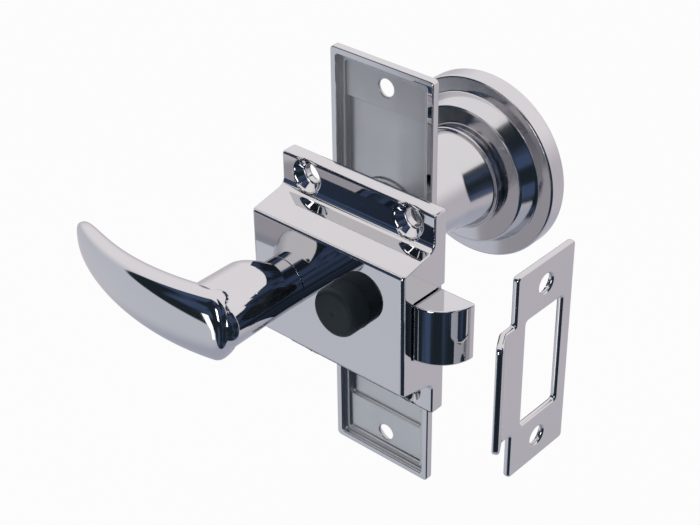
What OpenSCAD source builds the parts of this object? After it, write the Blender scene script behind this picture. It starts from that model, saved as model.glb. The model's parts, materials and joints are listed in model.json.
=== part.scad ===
// Rim latch: surface case with a lever inside, a plate and knob outside, and a loose strike plate.
// X runs along the case towards the bolt, Y runs through the door to the outside, Z is up.
// The origin is the centre of the four case screws on the inner face of the door. Lengths are in millimetres.

/* [Case] */
// Width of the case along the door
case_w = 46; // [44:0.5:54]
// Depth of the case in front of the door
case_depth = 14.8; // [14.6:0.1:17]
// Height of the flat front face
face_h = 32.4; // [32:0.2:38]
// How far the shoulders spread from the front face down to the flanges
shoulder_rise = 2.3; // [1.6:0.1:4]
// Height of each flange beyond the shoulder
flange_ledge = 8.9; // [8:0.1:14]
// Thickness of the flanges
flange_t = 4; // [3:0.1:5]
// Thickness of the case walls
wall_t = 1.8; // [1.5:0.1:2.2]
// Radius of the rounded outer edges
case_edge_r = 0.9; // [0.4:0.1:1.4]
// Radius of the hollow between flange and shoulder
shoulder_hollow_r = 2.2; // [1:0.1:3]
// Distance of the case screws from the ends of the case
screw_inset = 7.7; // [7:0.1:12]
// Diameter of the screw holes
screw_hole_d = 4.6; // [3.5:0.1:5.2]
// Diameter of the countersinks at the surface
screw_head_d = 8.4; // [7:0.1:9]

/* [Back cover] */
// Thickness of the cover plate
cover_t = 1.2; // [0.8:0.1:1.6]
// Distance of the cover's edge from the ends of the case
cover_inset = 1.1; // [1:0.1:1.5]
// How far the cover reaches past the shoulder onto the flanges
cover_lap = 0.5; // [0.2:0.1:1]
// Thread diameter of the cover screws
cover_screw_d = 2.5; // [2:0.1:3]
// Head diameter of the cover screws
cover_head_d = 4.4; // [4:0.1:5]
// Length of the cover screws
cover_screw_l = 5; // [4:0.1:5.5]

/* [Spindle and lever] */
// Distance of the spindle from the left end of the case
lever_inset = 9.6; // [9.4:0.1:12]
// Width across the flats of the square spindle
spindle_w = 6; // [5:0.1:6.4]
// Diameter of the lever's journal in the case
journal_d = 10; // [9.6:0.1:10.6]
// Wall of the bush that carries the journal
bush_wall = 1.2; // [0.8:0.1:1.6]
// Diameter of the lever's stem at the case
stem_d = 12.8; // [12.8:0.1:15]
// Diameter of the stem where it meets the arm
stem_end_d = 13.8; // [12.8:0.1:16]
// Where the stem starts to swell towards the arm, from the case
swell_start = 2.6; // [2:0.1:5]
// Length over which the stem swells
swell_l = 7; // [5:0.1:9]
// Width of the swollen stem
swell_w = 16.8; // [14:0.1:18]
// Height of the swollen stem
swell_h = 15; // [13:0.1:16]
// How far the middle of the swollen stem lies above the spindle
swell_rise = 0.9; // [0:0.1:1.4]
// Reach of the stem from the case to its domed end inside the elbow
stem_reach = 24.9; // [22:0.1:36]
// Length of the arm from the spindle to its tip
arm_len = 55.5; // [40:0.1:70]
// Thickness of the arm
arm_t = 7.8; // [6:0.1:10]
// How far the arm's round root reaches past the spindle
arm_root = 5; // [4:0.1:8]
// Height of the arm at its root
arm_h = 18.3; // [16:0.1:20]
// Share of the arm's height that is lost towards the tip
arm_taper = 0.4; // [0.2:0.05:0.6]
// Share of the arm's thickness that is lost towards the tip
arm_thinning = 0.35; // [0:0.05:0.5]
// How far the arm leans forward before it curls back
arm_lead = 7.3; // [0:0.1:12]
// How far the tip curls back towards the door
arm_curl = 14.2; // [4:0.1:20]
// How far the arm's root lies below the spindle
arm_drop = 0.7; // [0:0.1:2]
// How far the belly of the arm sags
arm_sag = 5.6; // [0:0.1:9]
// How far the arm lifts again
arm_lift = 3.1; // [0:0.1:14]
// How far the tip turns up at its end
arm_flick = 2.6; // [0:0.1:6]
// Full swing of the lever in degrees
lever_swing = 49; // [40:1:52]
// Diameter of both grub screws
grub_d = 4; // [3:0.1:4.5]

/* [Follower] */
// Diameter of the follower's hub
hub_d = 12; // [11:0.1:12.6]
// Distance of the crank pin from the spindle
crank_r = 11.3; // [10.4:0.1:11.6]
// Diameter of the crank pin
crank_pin_d = 2.6; // [2:0.1:3]
// Diameter of the boss round the crank pin
crank_boss_d = 4.8; // [4.4:0.1:5.2]
// Thickness of the crank arm
crank_t = 3.4; // [2:0.1:3.6]

/* [Bolt] */
// Height of the bolt
bolt_h = 14.8; // [12:0.1:15.4]
// Thickness of the bolt through the door's direction
bolt_t = 9.7; // [9:0.1:9.9]
// How far the bolt stands out of the case
bolt_proud = 9.8; // [9.6:0.1:12]
// Radius of the rounded nose
nose_r = 9.8; // [5:0.1:10]
// Thickness of the tail plate
tail_t = 2.5; // [1.6:0.1:3]
// Lower edge of the tail bar above the spindle
tail_z = 7; // [6.6:0.1:7.4]
// Wall beside the fork of the tail
fork_wall = 1.3; // [1:0.1:1.6]
// Thickness of the tooth that meets the lock pin
tooth_t = 2; // [1.4:0.1:2.6]

/* [Bolt spring] */
// Outer diameter of the coil
spring_d = 6; // [5:0.1:6.2]
// Wire diameter
wire_d = 0.8; // [0.5:0.05:0.9]
// Number of turns
spring_turns = 12; // [8:1:16]
// Height of the coil's axis below the spindle
spring_drop = 10.8; // [10.7:0.1:11]
// Thickness of the lug that the spring pushes on
lug_t = 3; // [2.4:0.1:4]
// Diameter of the rod that guides the spring
guide_d = 3.4; // [2.4:0.1:3.6]
// Free length of the guide rod
guide_l = 21; // [12:0.5:24]

/* [Lock button] */
// Distance of the button from the bolt's end of the case
button_inset = 15.9; // [15:0.1:16.4]
// Height of the button above the spindle
button_rise = 2.8; // [1:0.1:3.2]
// Diameter of the button
button_d = 12.4; // [10:0.1:13]
// How far the button stands out when it is not pressed
button_proud = 5.5; // [4:0.1:7]
// Radius of the button's rounded edge
button_edge_r = 1.3; // [0.5:0.1:2]
// Push of the button
lock_travel = 2; // [1.6:0.1:2]
// Diameter of the lock pin
lock_pin_d = 3; // [2:0.1:3.4]
// Width of the lip that keeps the button in the case
button_lip = 0.55; // [0.4:0.05:0.7]

/* [Outside plate] */
// Thickness of the door between case and plate
door_t = 20; // [16:0.5:26]
// Width of the plate
plate_w = 31.9; // [31:0.1:40]
// Height of the plate
plate_h = 118.6; // [100:0.2:140]
// How far the middle of the plate lies below the spindle
plate_drop = 15.6; // [8:0.1:20]
// Thickness of the plate over all
plate_t = 4.6; // [4.4:0.1:6]
// Thickness of the plate's outer edge
plate_edge_t = 2.2; // [1.8:0.1:2.6]
// Thickness of the panel
panel_t = 1.5; // [1.2:0.1:1.8]
// Width of the rim that lies on the door
rim_w = 1.9; // [1:0.1:2.2]
// Width of the inner ledge
ledge_w = 1.6; // [1:0.1:2]
// Depth of the first step inside
step_depth = 1.4; // [1:0.1:1.8]
// Distance of the panel's outer border from the plate's edge
panel_inset = 1.6; // [1.2:0.1:1.8]
// Length of the upper screw pad, from the end of the plate
pad_l = 13.2; // [11:0.1:18]
// Length of the lower screw pad, from the end of the plate
pad_low_l = 14.8; // [11:0.1:18]
// Thickness of the screw pads above the panel
pad_t = 1; // [0.6:0.1:1.2]
// Distance of the plate screws from the ends of the plate
plate_screw_inset = 7.3; // [6.8:0.1:9]
// Radius of the plate's corners
plate_corner_r = 1.2; // [0.6:0.1:2]

/* [Knob] */
// Diameter of the knob
knob_d = 51; // [48:0.5:60]
// Distance of the back of the rim from the outside of the plate
knob_back = 33.6; // [30:0.2:40]
// Thickness of the rim
knob_rim_t = 4.2; // [3.6:0.1:5]
// Height of the domed front above the rim
knob_dome = 5.6; // [3:0.1:8]
// Diameter of the hub behind the rim
knob_hub_d = 39.8; // [37:0.2:42]
// Length of the hub behind the rim
knob_hub_l = 5.8; // [5:0.1:7]
// Diameter of the collar ring on the neck
neck_ring_d = 28.4; // [28:0.2:32]
// Diameter of the neck where it meets the plate
neck_d = 21; // [20:0.2:25]
// Diameter of the knob's shank
shank_d = 16; // [14:0.1:16.4]
// Diameter of the rose on the plate
rose_d = 27; // [26:0.2:30]
// Height of the rose on the plate
rose_t = 3.4; // [2:0.1:5]

/* [Strike] */
// Distance of the strike's face from the middle of the case
strike_x = 51; // [40:0.5:70]
// Height of the strike
strike_h = 53.2; // [50:0.2:60]
// Width of the strike
strike_w = 20.4; // [19:0.1:26]
// Thickness of the strike
strike_t = 1.7; // [1:0.1:2]
// How far the middle of the strike lies in front of the door's face
strike_front = 1.3; // [0:0.1:6]
// Height of the bolt window
window_h = 28; // [20:0.2:30]
// Width of the bolt window
window_w = 13; // [11:0.1:14]
// Length of the lip before its bend
lip_flat = 3.2; // [2.2:0.1:5]
// Length of the lip after its bend
lip_l = 5.2; // [4:0.1:8]
// Height of the lip
lip_h = 29; // [22:0.2:32]
// Bend of the lip in degrees
lip_bend = 30; // [0:1:35]
// Distance of the strike screws from its ends
strike_screw_inset = 6.2; // [5.4:0.1:7]

/* [Fits] */
// Radial clearance of turning and sliding pins
run_gap = 0.05; // [0.03:0.01:0.08]
// Clearance of the bolt in its slot
slot_gap = 0.4; // [0.3:0.05:0.5]
// Clearance between flat faces that pass each other
side_gap = 0.3; // [0.25:0.01:0.35]
// Clearance between flat faces that lie on each other
face_gap = 0.1; // [0.05:0.01:0.12]

/* [Hidden] */
$fn = 64;
// Small overlap that makes cuts run clear of a face
cut = 1;
// Steps of one rounded corner in an outline
corner_steps = 6;

chrome = "#c3c6cc";
brass = "#b89a56";
steel = "#8d9096";
black = "#1b1c1f";

// Outer levels of the case
case_x = case_w / 2;
face_y = -case_depth;
face_z = face_h / 2;
root_z = face_z + shoulder_rise;
flange_z = root_z + flange_ledge;
screw_x = case_x - screw_inset;
screw_z = root_z + flange_ledge / 2;

// Room inside the case
cavity_x = case_x - wall_t;
cavity_y = face_y + wall_t;
cavity_z = face_z - wall_t;
cavity_r = 1;
boss_depth = 1;
boss_y = cavity_y + boss_depth;
boss_wall = 2.2;

// Cover
cover_x = case_x - cover_inset;
cover_z = root_z + cover_lap;
cover_gap = 0.05;
cover_screw_z = (cavity_z + cover_z) / 2;
spindle_hole_d = spindle_w * sqrt(2) + 4 * side_gap;

// Spindle and lever
lever_x = -case_x + lever_inset;
lever_bush_r = journal_d / 2 + run_gap + bush_wall;
stem_y = face_y - face_gap;
elbow_y = stem_y - stem_reach;
dome_l = 3.6;
// Metal left in front of the spindle's end, inside the elbow
elbow_wall = 6.8;
lever_grub_inset = 9;
// How far the arm's front covers the stem's end
arm_cover = 0.8;
stem_waist_l = 5;
socket_gap = 0.05;
socket_w = spindle_w + 2 * socket_gap;
spindle_front_y = elbow_y + dome_l + elbow_wall;
lever_grub_y = stem_y - lever_grub_inset;
arm_y = elbow_y + arm_t / 2 - arm_cover;
arm_rings = 30;
ring_points = 28;
// Squareness of the arm's section: 2 is an ellipse, more is boxier
arm_square = 2.7;
// How the arm narrows along its length, and how blunt its tip and its root are
arm_taper_power = 1.5;
arm_tip_power = 16;
arm_flick_power = 6;
arm_root_power = 6;
// How far the swollen stem lies inside the round stem on the side away from the arm
swell_inset = 0.3;
swell_rings = 9;

// Follower
hub_front_y = boss_y + side_gap;
washer_t = 0.5;
washer_lap = 1.5;
washer_back_y = -cover_t - cover_gap;
hub_back_y = washer_back_y - washer_t - face_gap;
rest_angle = lever_swing / 2;
crank_rest_x = lever_x + crank_r * sin(rest_angle);
crank_rest_z = crank_r * cos(rest_angle);
latch_travel = 2 * crank_r * sin(rest_angle);

// Bolt, with its tail set in from the bolt's back and from the case's roof
tail_inset = 1.2;
tail_roof_gap = 0.8;
crank_gap = 1;
lug_inset = 0.4;
// How far the spring lies in front of the tail
spring_front = 2.4;
bolt_back_y = -cover_t - side_gap;
bolt_front_y = bolt_back_y - bolt_t;
bolt_z = bolt_h / 2;
bolt_tip_x = case_x + bolt_proud;
button_x = case_x - button_inset;
head_x = button_x + lock_pin_d / 2 + side_gap;
tail_back_y = bolt_back_y - tail_inset;
tail_front_y = tail_back_y - tail_t;
tail_top_z = cavity_z - tail_roof_gap;
tail_stop_x = cavity_x - side_gap;
fork_w = crank_pin_d + side_gap;
tail_left_x = crank_rest_x - fork_w / 2 - fork_wall;
crank_back_y = tail_front_y - crank_gap;
crank_front_y = crank_back_y - crank_t;
lug_x = tail_stop_x - lug_inset - lug_t;
lug_z = -spring_drop - spring_d / 2;
spring_y = (tail_back_y + tail_front_y) / 2 - spring_front;
spring_left_x = -cavity_x;
spring_post_l = 3;
guide_seat = 2.2;

// Lock button
button_front_y = face_y - button_proud;
button_lip_t = 0.5;
button_back_y = bolt_front_y - side_gap - lock_travel;
lock_tip_y = bolt_front_y - side_gap;
button_bore_r = button_d / 2 + run_gap;
lip_r = button_d / 2 + button_lip;
lip_bore_r = lip_r + side_gap;
lock_pin_seat = 4;
snap_wire_d = 0.8;
snap_r = lip_r + run_gap + snap_wire_d / 2;
snap_y = boss_y - snap_wire_d / 2 - face_gap;

// Plate and knob
plate_in_y = door_t;
plate_out_y = door_t + plate_t;
floor_y = plate_out_y - panel_t;
pad_y = floor_y - pad_t;
plate_z = -plate_drop;
bush_r = shank_d / 2 + run_gap + bush_wall;
rose_top_y = plate_out_y + rose_t;
neck_y = rose_top_y + side_gap;
rim_y = plate_out_y + knob_back;
rim_front_y = rim_y + knob_rim_t;
dome_y = rim_front_y + knob_dome;
neck_ring_t = 1.7;
// Slope of the hub's back, from the collar ring out to the hub's edge
hub_back_l = 1.6;
hub_y = rim_y - knob_hub_l;
neck_ring_y = hub_y - hub_back_l - neck_ring_t;
bell_l = neck_ring_y - neck_y;
// Share of the neck's length after which it flares out to the collar ring
bell_share = 0.6;
bell_flare = 0.8;
knob_washer_t = 0.5;
knob_washer_w = 3;
circlip_t = 0.6;
circlip_w = 2.6;
circlip_opening = 36;
groove_depth = 0.8;
shank_end_l = 0.8;
washer_in_y = floor_y - face_gap - knob_washer_t;
circlip_back_y = washer_in_y - face_gap;
shank_in_y = circlip_back_y - circlip_t - shank_end_l;
spindle_end_y = hub_y;
knob_grub_y = neck_y + bell_l * bell_share / 2;
grub_sink = 1;

// Strike
strike_y = -strike_front;
strike_screw_z = strike_h / 2 - strike_screw_inset;
strike_corner_r = 1;
window_corner_r = 0.8;
lip_corner_r = 2;
lip_bend_r = 1.5;

// Direction of length one
function unit(v) = v / norm(v);

// Angle brought into the range from -180 to 180
function wrapped(a) = a > 180 ? a - 360 : a < -180 ? a + 360 : a;

// Points that round the corner b between its neighbours a and c
function corner(a, b, c, r) =
    r == 0 ? [b] :
    let (u = unit(a - b), v = unit(c - b), half = acos(u * v) / 2)
    let (centre = b + unit(u + v) * r / sin(half))
    let (start = b + u * r / tan(half), stop = b + v * r / tan(half))
    let (from = atan2(start.y - centre.y, start.x - centre.x))
    let (turn = wrapped(atan2(stop.y - centre.y, stop.x - centre.x) - from))
    [for (i = [0:corner_steps]) let (a = from + turn * i / corner_steps) centre + r * [cos(a), sin(a)]];

// Outline through points given as [x, y, corner radius]
function rounded(points) =
    let (n = len(points), p = [for (q = points) [q.x, q.y]])
    [for (i = [0:n - 1]) each corner(p[(i + n - 1) % n], p[i], p[(i + 1) % n], points[i].z)];

// Signed power, which squares off a circle into a rounder box
function squared(v, power) = sign(v) * pow(abs(v), 2 / power);

// Turns a solid that rises along Z so that it runs along Y, towards the outside of the door
module along_y(x = 0, y = 0, z = 0) {
    translate([x, y, z]) rotate([-90, 0, 0]) children();
}

// Turns a solid that rises along Z so that it runs along X, towards the bolt
module along_x(x = 0, y = 0, z = 0) {
    translate([x, y, z]) rotate([0, 90, 0]) children();
}

// Draws an outline in X and Z and gives it depth from y0 to y1
module front_outline(y0, y1) {
    translate([0, y1, 0]) rotate([90, 0, 0]) linear_extrude(y1 - y0) children();
}

// Draws an outline in Y and Z and gives it width from x0 to x1
module side_outline(x0, x1) {
    translate([x0, 0, 0]) rotate([90, 0, 90]) linear_extrude(x1 - x0) children();
}

// Rectangle with round corners about its middle
module round_rect(w, h, r) {
    square([w - 2 * r, h], center = true);
    square([w, h - 2 * r], center = true);
    for (x = [-1, 1], y = [-1, 1]) translate([x * (w / 2 - r), y * (h / 2 - r)]) circle(r);
}

// Places children at the four case screws
module at_case_screws() {
    for (x = [-1, 1], z = [-1, 1]) translate([x * screw_x, 0, z * screw_z]) children();
}

// Places children at the two cover screws
module at_cover_screws() {
    for (z = [-1, 1]) translate([0, 0, z * cover_screw_z]) children();
}

// Solid outer form of the case
module case_body() {
    intersection() {
        side_outline(-case_x, case_x) polygon(rounded([
            [0, -flange_z, 0],
            [-flange_t, -flange_z, case_edge_r],
            [-flange_t, -root_z, shoulder_hollow_r],
            [face_y, -face_z, case_edge_r],
            [face_y, face_z, case_edge_r],
            [-flange_t, root_z, shoulder_hollow_r],
            [-flange_t, flange_z, case_edge_r],
            [0, flange_z, 0]
        ]));
        translate([0, 0, -flange_z - cut]) linear_extrude(2 * (flange_z + cut)) polygon(rounded([
            [-case_x, cut, 0],
            [-case_x, face_y, case_edge_r],
            [case_x, face_y, case_edge_r],
            [case_x, cut, 0]
        ]));
        front_outline(face_y - cut, cut) round_rect(case_w, 2 * flange_z, case_edge_r);
    }
}

module case_shell() {
    color(chrome) difference() {
        union() {
            difference() {
                case_body();
                front_outline(cavity_y, cut) round_rect(2 * cavity_x, 2 * cavity_z, cavity_r);
            }
            along_y(lever_x, cavity_y - wall_t / 2)
                cylinder(r = lever_bush_r + boss_wall, h = boss_depth + wall_t / 2);
            along_y(button_x, cavity_y - wall_t / 2, button_rise)
                cylinder(r = lip_bore_r + boss_wall, h = boss_depth + wall_t / 2);
            along_x(spring_left_x - wall_t / 2, spring_y, -spring_drop)
                cylinder(d = guide_d, h = spring_post_l + wall_t / 2);
        }
        at_case_screws() {
            along_y(y = -flange_t - cut) cylinder(d = screw_hole_d, h = flange_t + 2 * cut);
            along_y(y = -flange_t)
                cylinder(d1 = screw_head_d, d2 = screw_hole_d, h = (screw_head_d - screw_hole_d) / 2);
            along_y(y = -flange_t - 2 * cut) cylinder(d = screw_head_d, h = 2 * cut);
        }
        front_outline(-cover_t, cut)
            round_rect(2 * (cover_x + cover_gap), 2 * (cover_z + cover_gap), cavity_r);
        at_cover_screws() along_y(y = -cover_screw_l) cylinder(d = cover_screw_d, h = cover_screw_l);
        along_y(lever_x, face_y - cut) cylinder(r = lever_bush_r, h = case_depth);
        along_y(button_x, face_y - cut, button_rise) cylinder(r = button_bore_r, h = wall_t + 2 * cut);
        along_y(button_x, button_back_y - button_lip_t - face_gap, button_rise)
            cylinder(r = lip_bore_r, h = case_depth / 2);
        along_y(button_x, snap_y - snap_wire_d / 2, button_rise)
            cylinder(r = snap_r + snap_wire_d / 2 + run_gap, h = snap_wire_d);
        side_outline(cavity_x - cut, case_x + cut)
            translate([(bolt_front_y - slot_gap + cut) / 2, 0])
            round_rect(cut - bolt_front_y + slot_gap, bolt_h + 2 * slot_gap, cavity_r);
    }
}

module back_cover() {
    color(steel) difference() {
        front_outline(-cover_t, 0) round_rect(2 * cover_x, 2 * cover_z, cavity_r);
        along_y(lever_x, -cover_t - cut) cylinder(d = spindle_hole_d, h = cover_t + 2 * cut);
        at_cover_screws() {
            along_y(y = -cover_t - cut) cylinder(d = cover_screw_d, h = cover_t + 2 * cut);
            along_y(y = -(cover_head_d - cover_screw_d) / 2)
                cylinder(d1 = cover_screw_d, d2 = cover_head_d, h = (cover_head_d - cover_screw_d) / 2);
        }
    }
}

module cover_screws() {
    slot_w = 0.7;
    slot_depth = 0.5;
    color(steel) at_cover_screws() difference() {
        union() {
            along_y(y = -cover_screw_l) cylinder(d = cover_screw_d, h = cover_screw_l);
            along_y(y = -(cover_head_d - cover_screw_d) / 2)
                cylinder(d1 = cover_screw_d, d2 = cover_head_d, h = (cover_head_d - cover_screw_d) / 2);
        }
        translate([0, -slot_depth / 2 + cut / 2, 0])
            cube([slot_w, slot_depth + cut, cover_head_d + cut], center = true);
    }
}

module lever_bush() {
    color(brass) along_y(lever_x, face_y) difference() {
        cylinder(r = lever_bush_r, h = boss_y - face_y);
        translate([0, 0, -cut]) cylinder(d = journal_d + 2 * run_gap, h = case_depth);
    }
}

// Middle and half sizes of the arm at t: 0 at the spindle, 1 at the tip, below 0 in the round root
function arm_middle(t) = [
    lever_x - arm_len * t,
    arm_y - arm_lead * t + arm_curl * t * t,
    -arm_drop - arm_sag * t + arm_lift * t * t + arm_flick * pow(max(t, 0), arm_flick_power)
];
function arm_tip(t) = sqrt(1 - pow(t, arm_tip_power));
function arm_end(t, power) = sqrt(1 - pow(-t * arm_len / arm_root, power));
function arm_share(t, narrowing, root_power) =
    t < 0 ? arm_end(t, root_power) : (1 - narrowing * pow(t, arm_taper_power)) * arm_tip(t);
function arm_half_h(t) = arm_h / 2 * arm_share(t, arm_taper, 2);
function arm_half_t(t) = arm_t / 2 * arm_share(t, arm_thinning, arm_root_power);
function arm_side(t) = unit([arm_curl * 2 * t - arm_lead, arm_len, 0]);

// One ring of the arm's skin
function arm_ring(t) = [
    for (i = [0:ring_points - 1])
        let (a = 360 * i / ring_points)
        arm_middle(t)
            + arm_side(t) * arm_half_t(t) * squared(cos(a), arm_square)
            + [0, 0, arm_half_h(t) * squared(sin(a), arm_square)]
];

// Rings lie closer together towards the round ends
function arm_station(i) = (1 - arm_root / arm_len - (1 + arm_root / arm_len) * cos(180 * i / arm_rings)) / 2;

// Closed skin over rings of points, from a point before the first ring to one after the last
module skinned(rings, first, last) {
    n = len(rings[0]);
    start = len(rings) * n;
    top = start - n;
    skin = [
        for (i = [0:len(rings) - 2], k = [0:n - 1])
            let (a = i * n + k, b = i * n + (k + 1) % n)
            each [[a, b, b + n], [a, b + n, a + n]]
    ];
    ends = [
        for (k = [0:n - 1])
            let (next = (k + 1) % n)
            each [[start, next, k], [top + k, top + next, start + 1]]
    ];
    polyhedron([for (ring = rings) each ring, first, last], concat(skin, ends));
}

module lever_arm() {
    skinned(
        [for (i = [1:arm_rings - 1]) arm_ring(arm_station(i))],
        arm_middle(-arm_root / arm_len), arm_middle(1)
    );
}

// Middle of the stem's swell, and one ring of its skin, where share is 0 at its start and 1 when it is full
function swell_middle(y, share) =
    [lever_x - share * (swell_w / 2 - stem_d / 2 + swell_inset), y, share * swell_rise];
function swell_half(full, share) = stem_d / 2 - swell_inset + share * (full / 2 - stem_d / 2 + swell_inset);
function swell_ring(y, share) = [
    for (i = [0:ring_points - 1])
        let (a = 360 * i / ring_points)
        swell_middle(y, share) + [swell_half(swell_w, share) * sin(a), 0, swell_half(swell_h, share) * cos(a)]
];

module stem_swell() {
    start_y = stem_y - swell_start;
    skinned(
        [
            for (i = [0:swell_rings])
                let (share = i / swell_rings)
                swell_ring(start_y - swell_l * share, sin(90 * share)),
            swell_ring(arm_y, 1)
        ],
        swell_middle(start_y, 0), swell_middle(arm_y, 1)
    );
}

// Stem of the lever, turned about the spindle, with a domed elbow
module lever_stem() {
    stem_end_y = elbow_y + dome_l;
    along_y(lever_x) rotate_extrude() polygon(concat(
        [[0, stem_y], [stem_d / 2, stem_y], [stem_d / 2, stem_y - stem_waist_l]],
        [
            for (i = [0:corner_steps])
                let (a = 90 * i / corner_steps)
                [stem_end_d / 2 * cos(a), stem_end_y - dome_l * sin(a)]
        ]
    ));
}

module lever_handle() {
    color(chrome) difference() {
        union() {
            lever_stem();
            stem_swell();
            lever_arm();
            along_y(lever_x, stem_y - cut) cylinder(d = journal_d, h = boss_y - stem_y + cut - face_gap);
        }
        translate([lever_x - socket_w / 2, spindle_front_y - socket_gap, -socket_w / 2])
            cube([socket_w, case_depth + stem_reach, socket_w]);
        translate([lever_x, lever_grub_y, -stem_end_d]) cylinder(d = grub_d, h = stem_end_d);
    }
}

module lever_grub_screw() {
    grub_l = stem_d / 2 - spindle_w / 2 - socket_gap - grub_sink / 2;
    color(steel) translate([lever_x, lever_grub_y, -spindle_w / 2 - grub_l]) difference() {
        cylinder(d = grub_d, h = grub_l);
        translate([0, 0, -cut]) cylinder(d = grub_d / 2, h = grub_l / 2 + cut, $fn = 6);
    }
}

module spindle() {
    color(steel) translate([lever_x - spindle_w / 2, spindle_front_y, -spindle_w / 2])
        cube([spindle_w, spindle_end_y - spindle_front_y, spindle_w]);
}

module follower() {
    color(brass) difference() {
        union() {
            along_y(lever_x, hub_front_y) cylinder(d = hub_d, h = hub_back_y - hub_front_y);
            front_outline(crank_front_y, crank_back_y) translate([lever_x, 0]) rotate(-rest_angle) {
                translate([0, crank_r]) circle(d = crank_boss_d);
                polygon([
                    [-hub_d / 2, 0], [hub_d / 2, 0],
                    [crank_boss_d / 2, crank_r], [-crank_boss_d / 2, crank_r]
                ]);
            }
        }
        translate([lever_x - socket_w / 2, face_y, -socket_w / 2]) cube([socket_w, case_depth, socket_w]);
        along_y(crank_rest_x, crank_front_y - cut, crank_rest_z)
            cylinder(d = crank_pin_d, h = crank_t + 2 * cut);
    }
}

module follower_pin() {
    color(steel) along_y(crank_rest_x, crank_front_y, crank_rest_z)
        cylinder(d = crank_pin_d, h = tail_back_y + side_gap - crank_front_y);
}

module follower_washer() {
    color(brass) along_y(lever_x, washer_back_y - washer_t) difference() {
        cylinder(d = hub_d + 2 * washer_lap, h = washer_t);
        translate([0, 0, -cut]) cylinder(d = spindle_hole_d, h = washer_t + 2 * cut);
    }
}

// Outline of the bolt's head seen from above, with its round nose towards the room
module bolt_plan() {
    nose_x = bolt_tip_x - nose_r;
    nose_y = bolt_front_y + nose_r;
    intersection() {
        translate([head_x, bolt_front_y]) square([bolt_tip_x - head_x, bolt_t]);
        union() {
            translate([nose_x, nose_y]) circle(nose_r);
            translate([head_x - cut, bolt_front_y - cut]) square([nose_x - head_x + cut, bolt_t + 2 * cut]);
            translate([nose_x - cut, nose_y]) square([nose_r + 2 * cut, bolt_t + cut]);
        }
    }
}

module latch_bolt() {
    pocket_x = head_x + tooth_t;
    pocket_end_x = button_x + latch_travel + lock_pin_d / 2 + side_gap;
    pocket_h = lock_pin_d + 4 * side_gap;
    pocket_y = lock_tip_y + lock_travel + side_gap;
    color(chrome) difference() {
        union() {
            translate([0, 0, -bolt_z]) linear_extrude(bolt_h) bolt_plan();
            front_outline(tail_front_y, tail_back_y) difference() {
                union() {
                    translate([head_x, 0]) square([tail_stop_x - head_x, tail_top_z]);
                    translate([tail_left_x, tail_z])
                        square([head_x + cut - tail_left_x, tail_top_z - tail_z]);
                }
                translate([crank_rest_x - fork_w / 2, tail_z + fork_wall]) square([fork_w, tail_top_z]);
            }
            translate([lug_x, spring_y - spring_d / 2, lug_z])
                cube([lug_t, spring_d, -lug_z - bolt_z + cut]);
        }
        translate([pocket_x, bolt_front_y - cut, button_rise - pocket_h / 2])
            cube([pocket_end_x - pocket_x, pocket_y - bolt_front_y + cut, pocket_h]);
        along_x(lug_x - cut, spring_y, -spring_drop) cylinder(d = guide_d, h = guide_seat + cut);
    }
}

module spring_guide() {
    color(steel) along_x(lug_x - guide_l, spring_y, -spring_drop)
        cylinder(d = guide_d, h = guide_l + guide_seat);
}

module bolt_spring() {
    wire_sides = 8;
    turn_steps = 16;
    wire_r = wire_d / 2;
    coil_r = spring_d / 2 - wire_r;
    coil_l = lug_x - spring_left_x - wire_d - 2 * face_gap;
    steps = spring_turns * turn_steps;
    points = [
        for (i = [0:steps], k = [0:wire_sides - 1])
            let (a = 360 * i / turn_steps, b = 360 * k / wire_sides, r = coil_r + wire_r * cos(b))
            [coil_l * i / steps + wire_r * sin(b), r * cos(a), r * sin(a)]
    ];
    skin = [
        for (i = [0:steps - 1], k = [0:wire_sides - 1])
            let (a = i * wire_sides + k, b = i * wire_sides + (k + 1) % wire_sides)
            each [[a, b, b + wire_sides], [a, b + wire_sides, a + wire_sides]]
    ];
    ends = [
        [for (k = [0:wire_sides - 1]) wire_sides - 1 - k],
        [for (k = [0:wire_sides - 1]) steps * wire_sides + k]
    ];
    color(steel) translate([spring_left_x + wire_r + face_gap, spring_y, -spring_drop])
        polyhedron(points, concat(skin, ends));
}

module lock_button() {
    dimple_r = 4;
    dimple_depth = 0.12;
    color(black) along_y(button_x, 0, button_rise) difference() {
        rotate_extrude() polygon(rounded([
            [0, button_front_y, 0],
            [button_d / 2, button_front_y, button_edge_r],
            [button_d / 2, button_back_y - button_lip_t, 0],
            [lip_r, button_back_y - button_lip_t, 0],
            [lip_r, button_back_y, 0],
            [0, button_back_y, 0]
        ]));
        translate([0, 0, button_front_y - dimple_r + dimple_depth]) sphere(dimple_r);
        translate([0, 0, button_back_y - lock_pin_seat]) cylinder(d = lock_pin_d, h = lock_pin_seat + cut);
    }
}

module lock_pin() {
    color(steel) along_y(button_x, button_back_y - lock_pin_seat, button_rise)
        cylinder(d = lock_pin_d, h = lock_tip_y - button_back_y + lock_pin_seat);
}

module lock_snap_ring() {
    color(steel) along_y(button_x, snap_y, button_rise)
        rotate_extrude() translate([snap_r, 0]) circle(d = snap_wire_d, $fn = 24);
}

// Border of the plate's raised panel: sloping sides, cut from two outlines
module plate_panel() {
    low = plate_in_y + plate_edge_t;
    slope = plate_t - plate_edge_t;
    half_w = plate_w / 2 - panel_inset;
    half_h = plate_h / 2 - panel_inset;
    intersection() {
        translate([0, 0, -half_h]) linear_extrude(2 * half_h) polygon([
            [-half_w, low - cut], [half_w, low - cut], [half_w, low],
            [half_w - slope / 2, plate_out_y], [slope / 2 - half_w, plate_out_y], [-half_w, low]
        ]);
        side_outline(-half_w, half_w) polygon([
            [low - cut, -half_h], [low, -half_h], [plate_out_y, slope / 2 - half_h],
            [plate_out_y, half_h - slope / 2], [low, half_h], [low - cut, half_h]
        ]);
    }
}

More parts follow.
